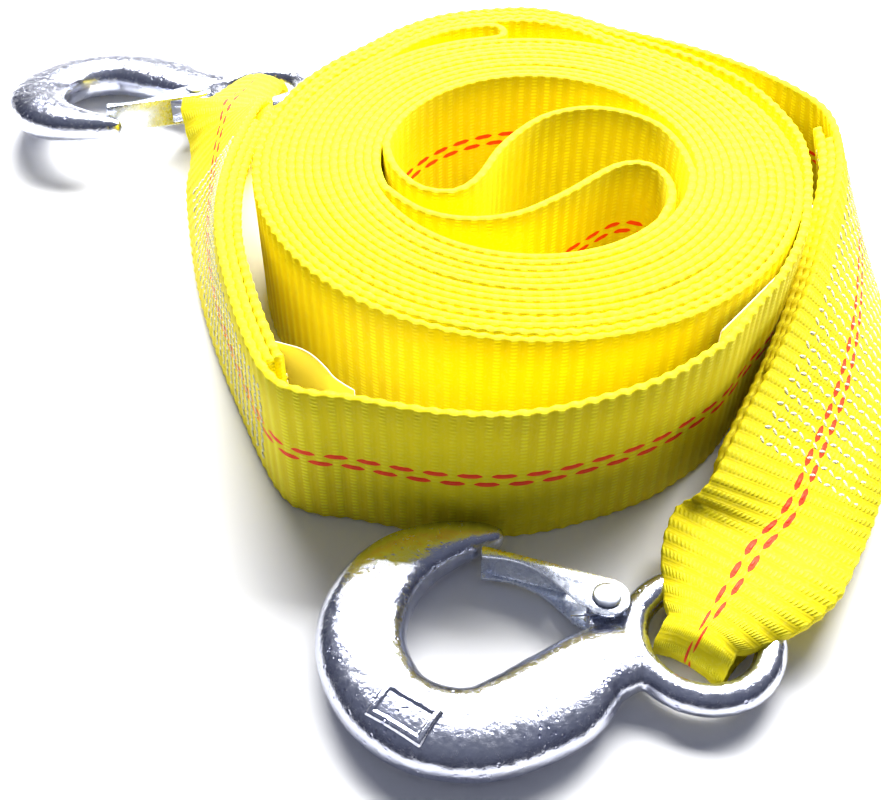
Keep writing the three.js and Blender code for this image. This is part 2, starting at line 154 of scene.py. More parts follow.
def catmull(points, place, centripetal=True):
    last = len(points) - 1
    i = min(int(place), last - 1)
    w = place - i
    b, c = points[i], points[i + 1]
    a = points[i - 1] if i > 0 else 2 * points[0] - points[1]
    d = points[i + 2] if i + 2 <= last else 2 * points[last] - points[last - 1]
    if centripetal:
        k1 = math.sqrt((c - b).length)
        k1 = 1.0 if k1 < 1e-4 else k1
        k0, k2 = math.sqrt((b - a).length), math.sqrt((d - c).length)
        k0 = k1 if k0 < 1e-4 else k0
        k2 = k1 if k2 < 1e-4 else k2
        t1 = ((b - a) / k0 - (c - a) / (k0 + k1) + (c - b) / k1) * k1
        t2 = ((c - b) / k1 - (d - b) / (k1 + k2) + (d - c) / k2) * k1
    else:
        t1, t2 = (c - a) / 2, (d - b) / 2
    return b + t1 * w + (3 * (c - b) - 2 * t1 - t2) * w * w + (2 * (b - c) + t1 + t2) * w ** 3


def smooth(points, count):
    """Points at equal distances along the curve through the given ones."""
    points = [Vector(p) for p in points]
    last = len(points) - 1
    trial = [catmull(points, last * i / 200) for i in range(201)]
    run = [0.0]
    for p, q in zip(trial, trial[1:]):
        run.append(run[-1] + (q - p).length)
    out, i = [], 0
    for k in range(count + 1):
        target = run[-1] * k / count
        while i < 199 and run[i + 1] < target:
            i += 1
        part = (target - run[i]) / max(run[i + 1] - run[i], 1e-9)
        out.append(catmull(points, last * min(1.0, (i + part) / 200)))
    return out


def hook_pair_layer(turned, _outer=False):
    if turned <= LIFT_FROM + 180:
        return turned / 90
    if turned <= LIFT_FROM + 540:
        over = 1 - fade(turned, SETTLE_FROM, SETTLE_TO)
        lift = BIGHT_LIFT / LAYER_PITCH * fade(turned, LIFT_FROM + 180, LIFT_TO + 180)
        return hook_pair_layer(turned - 360) + 2 + (2 + lift) * over
    return hook_pair_layer(turned - 360) + 2


def fold_pair_layer(turned, outer):
    return turned / 90 + (BIGHT_LIFT / LAYER_PITCH * fade(turned, LIFT_FROM, LIFT_TO) if outer else 0)


def wall_point(angle, layer):
    r = BORE_RADIUS + BORE_BULGE * math.cos(math.radians(angle - BULGE_ANGLE)) + LAYER_PITCH * layer
    return around(angle, r)


def around(angle, r):
    a = math.radians(angle)
    return Vector((COIL_X + r * math.cos(a), COIL_Y + r * math.sin(a), HALF_WEB))


def strand(start, first, last, slot, layer_of):
    turns = [first]
    t = math.ceil(first / STEP_ANGLE) * STEP_ANGLE
    if t <= first + 3:
        t += STEP_ANGLE
    while t < last - 3:
        turns.append(t)
        t += STEP_ANGLE
    turns.append(last)
    return [wall_point(start - t, layer_of(t, slot == 1) + slot + 0.5) for t in turns]


# Stations: middle, half width vector, bow, bare face
def station(middle, half, bow=None, bare=0):
    return Vector(middle), Vector(half), Vector(bow or (0, 0, 0)), bare


def upright(points, bare):
    """Stations on edge. The face to the left of the way shows no tracer where bare is 1, the other where it is -1."""
    return [station(p, (0, 0, HALF_WEB), None, bare) for p in points]


def smooth_stations(stations, count):
    middles = [s[0] for s in stations]
    halves = [s[1] for s in stations]
    last = len(stations) - 1
    return [station(catmull(middles, last * i / count), catmull(halves, last * i / count, False))
            for i in range(count + 1)]


def normals(stations):
    out = []
    for i, s in enumerate(stations):
        before = stations[max(0, i - 1)][0]
        after = stations[min(len(stations) - 1, i + 1)][0]
        out.append(s[1].cross(after - before).normalized())
    return out


def offset(stations, distance):
    return [station(s[0] + n * distance, s[1]) for s, n in zip(stations, normals(stations))]


def bowed(stations, way):
    """Bends the edges of a narrowed length back, as wide webbing curls on its way into the ring."""
    out = []
    for s, n in zip(stations, normals(stations)):
        narrow = HALF_WEB - s[1].length
        out.append(station(s[0], s[1], n * (way * min(3.4, 0.34 * max(0.0, narrow)))))
    return out


def loop_stations(place, toward, widths):
    u = Vector((toward[0], toward[1], 0)).normalized()
    v = Vector((u.y, -u.x, 0))

    def at(s, z, half):
        return station(place @ (u * s + Vector((0, 0, z))), (place.to_3x3() @ v) * half)

    over = [at(s, BAR_CLEAR, half) for s, half in zip(RING_STOPS, widths)]
    under = [at(s, -BAR_CLEAR, half) for s, half in zip(RING_STOPS, GATHERED)][:0:-1]
    turn = []
    for i in range(LOOP_STEPS + 1):
        a = math.pi * i / LOOP_STEPS
        turn.append(at(LOOP_CENTRE + BAR_CLEAR * math.sin(a), BAR_CLEAR * math.cos(a), LOOP_HALF))
    return over, turn, under


def leg(edges, place, toward, widths, count, tail, strip):
    over, turn, under = loop_stations(place, toward, widths)
    marks = [station((Vector(a) + Vector(b)) / 2, (Vector(a) - Vector(b)) / 2) for a, b in edges]
    shaped = smooth_stations(marks + over[:2], count)
    inner = offset(shaped, -2 * PLY_PITCH)[tail:-6]
    middle = offset(shaped, -PLY_PITCH)[strip:-9]
    back = smooth_stations([under[-1], inner[-1], inner[-2], inner[-3]], 6)[1:-1]
    outer = bowed(shaped + over[2:], -1)
    ends = bowed(under + back + inner[:-2][::-1], 1)
    first, last = outer[-1][2], ends[0][2]
    turned = [station(s[0], s[1], first.lerp(last, i / LOOP_STEPS)) for i, s in enumerate(turn)]
    return {"outer": outer + turned, "returned": ends, "middle": bowed(middle, -1), "shaped": bowed(shaped, -1),
            "inner": bowed(offset(shaped, -2 * PLY_PITCH), -1)}


FRONT_PLACE = Matrix.Translation(EYE_FRONT)
REAR_PLACE = (Matrix.Translation(EYE_REAR) @ Matrix.Rotation(math.radians(REAR_YAW), 4, "Z")
              @ Matrix.Rotation(math.radians(REAR_TILT), 4, "X"))


@lru_cache(None)
def legs():
    return (leg(FRONT_LEG_EDGES, FRONT_PLACE, (-0.59, -0.81), FRONT_OVER, 26, 6, 7),
            leg(REAR_LEG_EDGES, REAR_PLACE, (0.29, 0.956), GATHERED, 24, 0, 0))


@lru_cache(None)
def strap_path():
    """The webbing's stations from the front hook's returned end right through to the rear hook's."""
    front, rear = legs()
    outer_p = strand(PAIR_P_START, -30, PAIR_P_TURN, 1, hook_pair_layer)
    inner_p = strand(PAIR_P_START, 0, PAIR_P_TURN, 0, hook_pair_layer)
    outer_q = strand(PAIR_Q_START, -10, BIGHT_TURN, 1, fold_pair_layer)
    inner_q = strand(PAIR_Q_START, 20, BIGHT_TURN, 0, fold_pair_layer)
    a, b = inner_q[-1], outer_q[-1]
    mid = (a + b) / 2
    side = Vector((b.y - mid.y, mid.x - b.x, 0))
    fold = [mid + (a - mid) * math.cos(math.pi * i / 6) + side * math.sin(math.pi * i / 6) for i in range(1, 6)]
    flat = [Vector((*p, HALF_WEB)) for p in LEG_TURN_IN]
    lead = smooth(outer_p[-2:] + [around(*p) for p in LEG_START], 9)[2:]
    round_ = smooth(inner_p[-2:] + [around(*p) for p in reversed(OUTER_RIGHT)]
                    + [Vector((*p, HALF_WEB)) for p in reversed(OUTER_FRONT)] + flat, 62)

    def cross(points, start, end):
        return smooth([start] + [Vector((*p, HALF_WEB)) for p in points] + [end], 34)[1:-1]

    lower = cross(LOWER_CROSS, outer_p[0], inner_q[0])
    upper = cross(UPPER_CROSS, inner_p[0], outer_q[0])
    wound = outer_p[:-1][::-1]
    coil = (upright(lead[::-1], 0) + upright(wound[:OUTER_STATIONS], -1)
            + upright(wound[OUTER_STATIONS:] + lower + inner_q + fold + outer_q[::-1] + upper[::-1] + inner_p[:-1], 1)
            + upright(round_[4:], -1))
    return front["returned"][::-1] + front["outer"][::-1] + coil + rear["outer"] + rear["returned"]


def refine(stations, step_at):
    """Closer stations on the curve through the given ones."""
    middles = [s[0] for s in stations]
    runs = [0.0]
    for p, q in zip(middles, middles[1:]):
        runs.append(runs[-1] + (q - p).length)
    out = []
    for i in range(len(stations) - 1):
        parts = max(1, round((runs[i + 1] - runs[i]) / step_at(runs[i], runs[-1])))
        for j in range(parts):
            w = j / parts
            half = stations[i][1].lerp(stations[i + 1][1], w)
            bow = stations[i][2].lerp(stations[i + 1][2], w)
            out.append((catmull(middles, i + w), half, bow, stations[i][3]))
    out.append(stations[-1])
    return out


# Mesh helpers
def finish_mesh(bm, name, material, body, replaces=(), sharp=None):
    """Turns a bmesh in part millimetres into an object of the scene that rides on a body."""
    if sharp is not None:
        for edge in bm.edges:
            edge.smooth = len(edge.link_faces) == 2 and edge.calc_face_angle(0) < sharp
    for face in bm.faces:
        face.smooth = True
    bmesh.ops.scale(bm, vec=(MM, MM, MM), verts=bm.verts)
    mesh = bpy.data.meshes.new(name)
    bm.to_mesh(mesh)
    bm.free()
    mesh.materials.append(material)
    piece = bpy.data.objects.new(name, mesh)
    bpy.context.collection.objects.link(piece)
    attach(piece, body)
    if replaces:
        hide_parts(*replaces)
    return piece


def wrapped_grid(rows, columns, point, uv_at=None):
    """A grid rolled up into a tube: point(i, k) places row i and column k, and the ends are closed."""
    bm = bmesh.new()
    layer = bm.loops.layers.uv.new("UVMap")
    bmesh.ops.create_grid(bm, x_segments=rows - 1, y_segments=columns, size=1.0)
    index = {}
    for vert in bm.verts:
        i = round((vert.co.x + 1) / 2 * (rows - 1))
        k = round((vert.co.y + 1) / 2 * columns)
        index[vert] = (i, k)
    if uv_at:
        for face in bm.faces:
            corner = min(index[v] for v in face.verts)
            for loop in face.loops:
                loop[layer].uv = uv_at(*index[loop.vert], corner)
    for vert, (i, k) in index.items():
        vert.co = point(i, k % columns)
    bmesh.ops.remove_doubles(bm, verts=bm.verts, dist=1e-4)
    rims = [e for e in bm.edges if e.is_boundary]
    closed = bmesh.ops.holes_fill(bm, edges=rims, sides=0)["faces"]
    for face in closed:
        for loop in face.loops:
            near = loop.link_loop_radial_next
            match = next((n for n in near.face.loops if n.vert == loop.vert), near)
            loop[layer].uv = match[layer].uv
    bmesh.ops.recalc_face_normals(bm, faces=bm.faces)
    return bm


SECTION = [(-0.978, 1), (-0.5, 1), (0, 1), (0.5, 1), (0.978, 1), (1, 0.55), (1, -0.55),
           (0.978, -1), (0.5, -1), (0, -1), (-0.5, -1), (-0.978, -1), (-1, -0.55), (-1, 0.55)]
EDGE_COLUMN = 0.9
YARN_PITCH = 1.38
BARE_OFFSET = 100 * YARN_PITCH  # moves a face clear of the tracers in the pattern


def ribbon(stations, thick, rib, pitch, fine_at, wander=0.0, start=0.0):
    """Woven tape along the stations: ribs across its faces and scalloped selvedges where fine_at says so."""
    across = normals(stations)
    runs = [start]
    for p, q in zip(stations, stations[1:]):
        runs.append(runs[-1] + (q[0] - p[0]).length)
    total = runs[-1]

    def point(i, k):
        middle, half, bow, _ = stations[i]
        w, t = SECTION[k]
        run = runs[i]
        relief = fine_at(run, total)
        phase = 2 * math.pi * run / pitch
        depth = thick / 2 + relief * rib * math.cos(phase)
        wide = half
        if abs(w) > EDGE_COLUMN:
            wide = half * (1 + relief * 0.22 * math.sin(phase) / HALF_WEB)
            depth *= 1 + 0.08 * relief * math.sin(phase + 1)
        p = middle + wide * w + across[i] * (depth * t) + bow * (w * w)
        if wander:
            p.z += wander * (1 + math.sin(run / 23) * math.sin(run / 61 + 1))
        p.z = max(p.z, 0.05)
        return p + SHIFT

    def uv_at(i, k, corner):
        row, column = corner
        side = 1 if column < 4 else -1 if 7 <= column < 11 else 0
        aside = BARE_OFFSET if side and side == stations[row][3] else 0.0
        return ((SECTION[k % len(SECTION)][0] * HALF_WEB + aside) * MM, runs[i] * MM)

    return wrapped_grid(len(stations), len(SECTION), point, uv_at), total - start


def plate(outline, low, high):
    """The outline pulled up from one height to the other."""
    bm = bmesh.new()
    face = bm.faces.new([bm.verts.new((p[0], p[1], low)) for p in outline])
    out = bmesh.ops.extrude_face_region(bm, geom=[face])
    moved = [g for g in out["geom"] if isinstance(g, bmesh.types.BMVert)]
    bmesh.ops.translate(bm, vec=(0, 0, high - low), verts=moved)
    bmesh.ops.recalc_face_normals(bm, faces=bm.faces)
    return bm


def post(middle, radius, low, high, sides=40):
    bm = bmesh.new()
    bmesh.ops.create_cone(bm, cap_ends=True, cap_tris=False, segments=sides, radius1=radius, radius2=radius,
                          depth=high - low, matrix=Matrix.Translation((middle[0], middle[1], (low + high) / 2)))
    return bm


def turned(profile, steps=48):
    """A profile of (radius, height) spun about Z."""
    bm = bmesh.new()
    verts = [bm.verts.new((r, 0, z)) for r, z in profile]
    edges = [bm.edges.new(pair) for pair in zip(verts, verts[1:])]
    bmesh.ops.spin(bm, geom=verts + edges, cent=(0, 0, 0), axis=(0, 0, 1), angle=2 * math.pi, steps=steps,
                   use_merge=True)
    bmesh.ops.remove_doubles(bm, verts=bm.verts, dist=1e-4)
    bmesh.ops.recalc_face_normals(bm, faces=bm.faces)
    return bm


def as_object(bm, name):
    mesh = bpy.data.meshes.new(name)
    bm.to_mesh(mesh)
    bm.free()
    thing = bpy.data.objects.new(name, mesh)
    bpy.context.collection.objects.link(thing)
    return thing


def with_modifiers(bm, *rows, helpers=()):
    """Applies modifiers, given as (type, values), to a bmesh, and drops the helper objects."""
    thing = as_object(bm, "working")
    for kind, values in rows:
        modifier = thing.modifiers.new(kind, kind)
        for key, value in values.items():
            setattr(modifier, key, value)
    bpy.context.view_layer.update()
    shaped = thing.evaluated_get(bpy.context.evaluated_depsgraph_get()).to_mesh()
    out = bmesh.new()
    out.from_mesh(shaped)
    for used in (thing, *helpers):
        bpy.data.objects.remove(used)
    return out


def cut_from(bm, *tools):
    helpers = [as_object(tool, "tool") for tool in tools]
    rows = [("BOOLEAN", {"operation": "DIFFERENCE", "solver": "EXACT", "object": h}) for h in helpers]
    return with_modifiers(bm, *rows, helpers=helpers)


def join_in(bm, other):
    mesh = bpy.data.meshes.new("joined")
    other.to_mesh(mesh)
    other.free()
    bm.from_mesh(mesh)
    bpy.data.meshes.remove(mesh)


def softened(bm, width, angle=0.5):
    """The mesh with every edge sharper than the angle rounded off."""
    bmesh.ops.remove_doubles(bm, verts=bm.verts, dist=1e-3)
    bmesh.ops.dissolve_limit(bm, angle_limit=0.01, verts=bm.verts, edges=bm.edges)
    edges = [e for e in bm.edges if len(e.link_faces) == 2 and e.calc_face_angle(0) > angle]
    bmesh.ops.bevel(bm, geom=edges, offset=width, segments=2, profile=0.5, affect="EDGES", material=-1,
                    clamp_overlap=True)
    return bm


def tube(points, radius, sides=10):
    """Round wire through the points, with closed ends."""
    points = [Vector(p) for p in points]
    frames = []
    up = Vector((0, 0, 1))
    for i, p in enumerate(points):
        along = (points[min(i + 1, len(points) - 1)] - points[max(i - 1, 0)]).normalized()
        side = along.cross(up).normalized() if abs(along.z) < 0.95 else Vector((1, 0, 0))
        frames.append((p, side, side.cross(along)))

    def point(i, k):
        p, side, rise = frames[i]
        a = 2 * math.pi * k / sides
        return p + side * (radius * math.cos(a)) + rise * (radius * math.sin(a))

    return wrapped_grid(len(points), sides, point)


# Materials
class Surface:
    """Builds one node material, with short calls for its sums and mixes."""

    def __init__(self, name, **sockets):
        self.material = bpy.data.materials.new(name)
        self.material.use_nodes = True
        self.tree = self.material.node_tree
        self.shader = self.tree.nodes["Principled BSDF"]
        for key, value in sockets.items():
            self.shader.inputs[key].default_value = value

    def node(self, kind, inputs=(), **settings_):
        made = self.tree.nodes.new(kind)
        for key, value in settings_.items():
            setattr(made, key, value)
        for key, value in dict(inputs).items():
            if isinstance(value, bpy.types.NodeSocket):
                self.tree.links.new(value, made.inputs[key])
            else:
                made.inputs[key].default_value = value
        return made

    def sum(self, operation, *values, clamp=False):
        return self.node("ShaderNodeMath", dict(enumerate(values)), operation=operation,
                         use_clamp=clamp).outputs[0]

    def mix(self, amount, first, second):
        made = self.node("ShaderNodeMix", data_type="RGBA")
        for place, value in ((0, amount), (6, first), (7, second)):
            if isinstance(value, bpy.types.NodeSocket):
                self.tree.links.new(value, made.inputs[place])
            else:
                made.inputs[place].default_value = value
        return made.outputs[2]

    def place(self, kind="Object"):
        return self.node("ShaderNodeTexCoord").outputs[kind]

    def grain(self, where, scale, detail=3.0, roughness=0.5):
        return self.node("ShaderNodeTexNoise", {"Vector": where, "Scale": scale, "Detail": detail,
                                                "Roughness": roughness}).outputs[0]

    def ramp(self, value, low, high):
        """0 at low and below, 1 at high and above."""
        return self.node("ShaderNodeMapRange", {0: value, 1: low, 2: high}).outputs[0]

    def bump(self, height, distance, strength=1.0, under=None):
        inputs = {"Height": height, "Distance": distance, "Strength": strength}
        if under is not None:
            inputs["Normal"] = under
        return self.node("ShaderNodeBump", inputs).outputs[0]

    def plug(self, **links):
        for key, value in links.items():
            self.tree.links.new(value, self.shader.inputs[key.replace("_", " ")])
        return self.material


def rgba(colour, gain=1.0):
    return (colour[0] * gain, colour[1] * gain, colour[2] * gain, 1.0)


def woven(name, colour, tracer, rib_pitch, tracers=True):
    """Ribbed polyester webbing: floats in columns across the tape and a pair of dashed tracer yarns."""
    s = Surface(name)
    s.shader.inputs["Specular IOR Level"].default_value = 0.25
    uv = s.node("ShaderNodeSeparateXYZ", {0: s.place("UV")})
    width, length = uv.outputs[0], uv.outputs[1]
    turn = 2 * math.pi
    rib = s.sum("COSINE", s.sum("MULTIPLY", length, turn / (rib_pitch * MM)))
    yarn = s.sum("COSINE", s.sum("MULTIPLY", width, turn / (YARN_PITCH * MM)))
    picks = s.sum("COSINE", s.sum("MULTIPLY", length, turn * 3 / (rib_pitch * MM)))
    float_ = s.sum("MULTIPLY", s.ramp(rib, -0.1, 0.8), s.ramp(yarn, -0.5, 0.7))
    between = s.sum("MULTIPLY", s.ramp(rib, 0.2, -0.9), s.ramp(picks, -0.2, 0.9))
    height = s.sum("ADD", s.sum("ADD", s.sum("MULTIPLY", float_, 0.62), s.sum("MULTIPLY", between, 0.16)),
                   s.sum("MULTIPLY", s.ramp(rib, -1, 1), 0.3))
    where = s.place()
    soft = s.grain(where, 28.0, 2.0)
    fuzz = s.grain(where, 900.0, 2.0, 0.6)
    # Painted shade and painted highlight: a darker, more orange copy of the colour fills the valleys between ribs and
    # floats, and a lighter copy lies on the raised floats.
    painted_valley_shade, painted_float_highlight = rgba(colour, 0.8), rgba((min(1, colour[0] * 1.03), min(1, colour[1] * 1.06), colour[2] + 0.015))
    painted_valley_shade = (painted_valley_shade[0], painted_valley_shade[1] * 0.9, 0.0, 1.0)
    weave_painted_shading = s.mix(s.ramp(height, 0.1, 0.75), painted_valley_shade, painted_float_highlight)
    # Random tone from soft noise and fine fuzz goes over the painted shade and highlight, and the tracers go on top.
    tone_with_painted_light = s.mix(s.ramp(soft, 0.35, 0.75), weave_painted_shading, rgba((colour[0] * 0.93, colour[1] * 0.88, 0.0)))
    tone_with_painted_light = s.mix(s.sum("MULTIPLY", s.ramp(fuzz, 0.5, 0.8), 0.14), tone_with_painted_light, rgba((1.0, 0.93, 0.3)))
    if tracers:
        marks = []
        for side, phase in ((-1, 0.0), (1, 0.5)):
            wave = s.sum("COSINE", s.sum("ADD", s.sum("MULTIPLY", length, turn / (2 * rib_pitch * MM)), turn * phase))
            lens = s.sum("MULTIPLY", s.sum("SQRT", s.ramp(wave, -0.72, 0.35)), 0.92 * MM)
            away = s.sum("ABSOLUTE", s.sum("SUBTRACT", width, side * 1.65 * MM))
            marks.append(s.sum("MULTIPLY", s.sum("SUBTRACT", lens, away), 9000.0, clamp=True))
        dash = s.sum("MAXIMUM", *marks)
        tone_with_painted_light = s.mix(dash, tone_with_painted_light, rgba(tracer))
        height = s.sum("ADD", height, s.sum("MULTIPLY", dash, 0.3))
    rough = s.ramp(height, -0.6, 1.6)
    rough = s.sum("SUBTRACT", 0.95, s.sum("MULTIPLY", rough, 0.55))
    rising = s.bump(fuzz, 0.00012, 0.5)
    return s.plug(Base_Color=tone_with_painted_light, Roughness=rough, Normal=s.bump(height, 0.0003, 0.8, rising))


def zinc_cast(name, colour, pit_depth, roughness, coarse=True):
    """Bright zinc over a forged skin: fine orange peel, scattered pits and clouded plating."""
    s = Surface(name, Metallic=1.0)
    where = s.place()
    cloud = s.grain(where, 90.0, 4.0, 0.6)
    peel = s.grain(where, 620.0, 4.0, 0.65)
    pits = s.node("ShaderNodeTexVoronoi", {"Vector": where, "Scale": 520.0}).outputs[0]
    pit = s.ramp(pits, 0.30, 0.12) if coarse else s.ramp(pits, 0.16, 0.05)
    dark = rgba((colour[0] * 0.62, colour[1] * 0.62, colour[2] * 0.8))
    clouded = rgba((colour[0] * 0.86, colour[1] * 0.87, colour[2] * 0.95))
    shade = s.mix(s.ramp(cloud, 0.35, 0.7), rgba(colour), clouded)
    few = s.sum("MULTIPLY", pit, s.ramp(cloud, 0.42, 0.62))
    shade = s.mix(s.sum("MULTIPLY", few, 0.65), shade, dark)
    rough = s.sum("ADD", s.sum("MULTIPLY", s.ramp(peel, 0.3, 0.75), 0.16), roughness)
    height = s.sum("SUBTRACT", peel, s.sum("MULTIPLY", few, 0.8))
    return s.plug(Base_Color=shade, Roughness=rough, Normal=s.bump(height, pit_depth * MM, 1.0))


def spun_polyester(name, colour):
    """White sewing thread with the slant of its twist, and painted shade in the hollows of the twist."""
    s = Surface(name, Roughness=0.6)
    where = s.place()
    band = s.node("ShaderNodeTexWave", {"Vector": where, "Scale": 700.0, "Distortion": 1.5},
                  bands_direction="DIAGONAL")
    # Painted shade: a darker copy of the thread colour lies in the low parts of the twist.
    hollow = rgba((colour[0] * 0.8, colour[1] * 0.79, colour[2] * 0.6))
    shade = s.mix(s.ramp(band.outputs[1], 0.2, 0.8), hollow, rgba(colour))
    return s.plug(Base_Color=shade, Normal=s.bump(band.outputs[1], 0.0001, 0.6))


def label_cloth(name, colour):
    """Smooth woven label: a fine even weave, a little soiled."""
    s = Surface(name, Roughness=0.65)
    uv = s.node("ShaderNodeSeparateXYZ", {0: s.place("UV")})
    turn = 2 * math.pi / (0.35 * MM)
    warp = s.sum("SINE", s.sum("MULTIPLY", uv.outputs[0], turn))
    weft = s.sum("SINE", s.sum("MULTIPLY", uv.outputs[1], turn))
    weave = s.sum("MULTIPLY", warp, weft)
    stain = s.grain(s.place(), 60.0, 3.0)
    shade = s.mix(s.ramp(stain, 0.3, 0.8), rgba(colour), rgba((colour[0] * 0.94, colour[1] * 0.86, colour[2] * 0.7)))
    low = rgba((colour[0] * 0.8, colour[1] * 0.76, colour[2] * 0.6))
    shade = s.mix(s.sum("MULTIPLY", s.ramp(weave, -1, 1), 0.1), shade, low)
    return s.plug(Base_Color=shade, Normal=s.bump(weave, 0.00006, 0.5))


def studio_floor(name, colour):
    s = Surface(name, Roughness=0.7)
    soft = s.grain(s.place(), 2.0, 2.0)
    shade = s.mix(s.ramp(soft, 0.3, 0.7), rgba(colour), rgba(colour, 0.985))
    return s.plug(Base_Color=shade)


# Settings
class WebbingSettings(bpy.types.PropertyGroup):
    thickness: bpy.props.FloatProperty(
        name="Thickness", description="Thickness of the woven tape", default=0.0027, min=0.0015, max=0.0028,
        unit="LENGTH", precision=5)
    rib_pitch: bpy.props.FloatProperty(
        name="Rib pitch", description="Distance from one cross rib to the next", default=0.0047, min=0.002,
        max=0.01, unit="LENGTH", precision=5)
    rib_height: bpy.props.FloatProperty(
        name="Rib height", description="How far the cross ribs rise and fall", default=0.00006, min=0.0,
        max=0.0003, unit="LENGTH", precision=5)
    colour: bpy.props.FloatVectorProperty(
        name="Colour", description="Colour of the webbing", default=(0.97, 0.87, 0.0), min=0.0, max=1.0,
        subtype="COLOR")
    tracer: bpy.props.FloatVectorProperty(
        name="Tracer colour", description="Colour of the two dashed yarns", default=(0.95, 0.06, 0.01),
        min=0.0, max=1.0, subtype="COLOR")


class SewingSettings(bpy.types.PropertyGroup):
    thread: bpy.props.FloatProperty(
        name="Thread", description="Thickness of the sewing thread", default=0.0012, min=0.0003, max=0.0015,
        unit="LENGTH", precision=5)
    row_pitch: bpy.props.FloatProperty(
        name="Row pitch", description="Distance between the rows of stitches", default=0.0047, min=0.003,
        max=0.012, unit="LENGTH", precision=5)
    colour: bpy.props.FloatVectorProperty(
        name="Colour", description="Colour of the thread", default=(0.95, 0.93, 0.72), min=0.0, max=1.0,
        subtype="COLOR")


class LabelSettings(bpy.types.PropertyGroup):
    thickness: bpy.props.FloatProperty(
        name="Thickness", description="Thickness of the label", default=0.0005, min=0.0002, max=0.0006,
        unit="LENGTH", precision=5)
    colour: bpy.props.FloatVectorProperty(
        name="Colour", description="Colour of the label cloth", default=(0.93, 0.88, 0.72), min=0.0, max=1.0,
        subtype="COLOR")


class HookSettings(bpy.types.PropertyGroup):
    fineness: bpy.props.FloatProperty(
        name="Mesh size", description="Cell size of the forged bodies", default=0.0007, min=0.0004, max=0.002,
        unit="LENGTH", precision=5)
    pit_depth: bpy.props.FloatProperty(
        name="Pit depth", description="Depth of the pits in the forged skin", default=0.00014, min=0.0,
        max=0.0006, unit="LENGTH", precision=5)
    colour: bpy.props.FloatVectorProperty(
        name="Colour", description="Colour of the zinc plating", default=(0.66, 0.68, 0.76), min=0.0, max=1.0,
        subtype="COLOR")
    pressed: bpy.props.FloatVectorProperty(
        name="Latch colour", description="Colour of the plated sheet", default=(0.82, 0.86, 0.92), min=0.0,
        max=1.0, subtype="COLOR")


class StageSettings(bpy.types.PropertyGroup):
    floor: bpy.props.FloatVectorProperty(
        name="Floor", description="Colour of the floor", default=(0.9, 0.9, 0.9), min=0.0, max=1.0,
        subtype="COLOR")
    key_power: bpy.props.FloatProperty(
        name="Key light", description="Power of the soft light behind the object", default=66.0, min=0.0,
        unit="POWER")
    fill: bpy.props.FloatProperty(
        name="Fill", description="Strength of the light from all around", default=0.55, min=0.0,
        subtype="FACTOR")


def webbing_material():
    web = settings("webbing")
    name = "ribbed_webbing"
    return bpy.data.materials.get(name) or woven(name, web.colour, web.tracer, web.rib_pitch / MM)


FINE_START, FINE_END = 1250, 1900


def seen_close(run, total):
    return 1.0 if run < FINE_START or run > total - FINE_END else 0.0


# Operators
class LayWebbing(bpy.types.Operator):
    """Lays the one length of webbing: two legs, the coil and the fold in its middle"""
    bl_idname = "towstrap.lay_webbing"
    bl_label = "Lay the webbing"

    def execute(self, context):
        web = settings("webbing")
        pitch = web.rib_pitch / MM
        stations = refine(strap_path(), lambda run, total: pitch / 5 if seen_close(run, total) else 3.4)
        bm, length = ribbon(stations, web.thickness / MM, web.rib_height / MM, pitch, seen_close, wander=0.25)
        strap = finish_mesh(bm, "webbing_strap", webbing_material(), "webbing", ["strap"])
        return {"FINISHED"}


class AddDoubling(bpy.types.Operator):
    """Adds the short strip that is sewn between the plies of each leg"""
    bl_idname = "towstrap.add_doubling"
    bl_label = "Add the doubling strips"

    def execute(self, context):
        web = settings("webbing")
        pitch = web.rib_pitch / MM
        for end, parts in zip(("front", "rear"), legs()):
            stations = refine(parts["middle"], lambda run, total: pitch / 5)
            bm, length = ribbon(stations, web.thickness / MM, web.rib_height / MM, pitch, lambda run, total: 1.0)
            strip = finish_mesh(bm, end + "_sewn_strip", webbing_material(), "webbing",
                                [end + "_doubling_strip"])
        return {"FINISHED"}


ROW_VERTS = 600  # stitches are gathered in groups of this many points before they join the rest


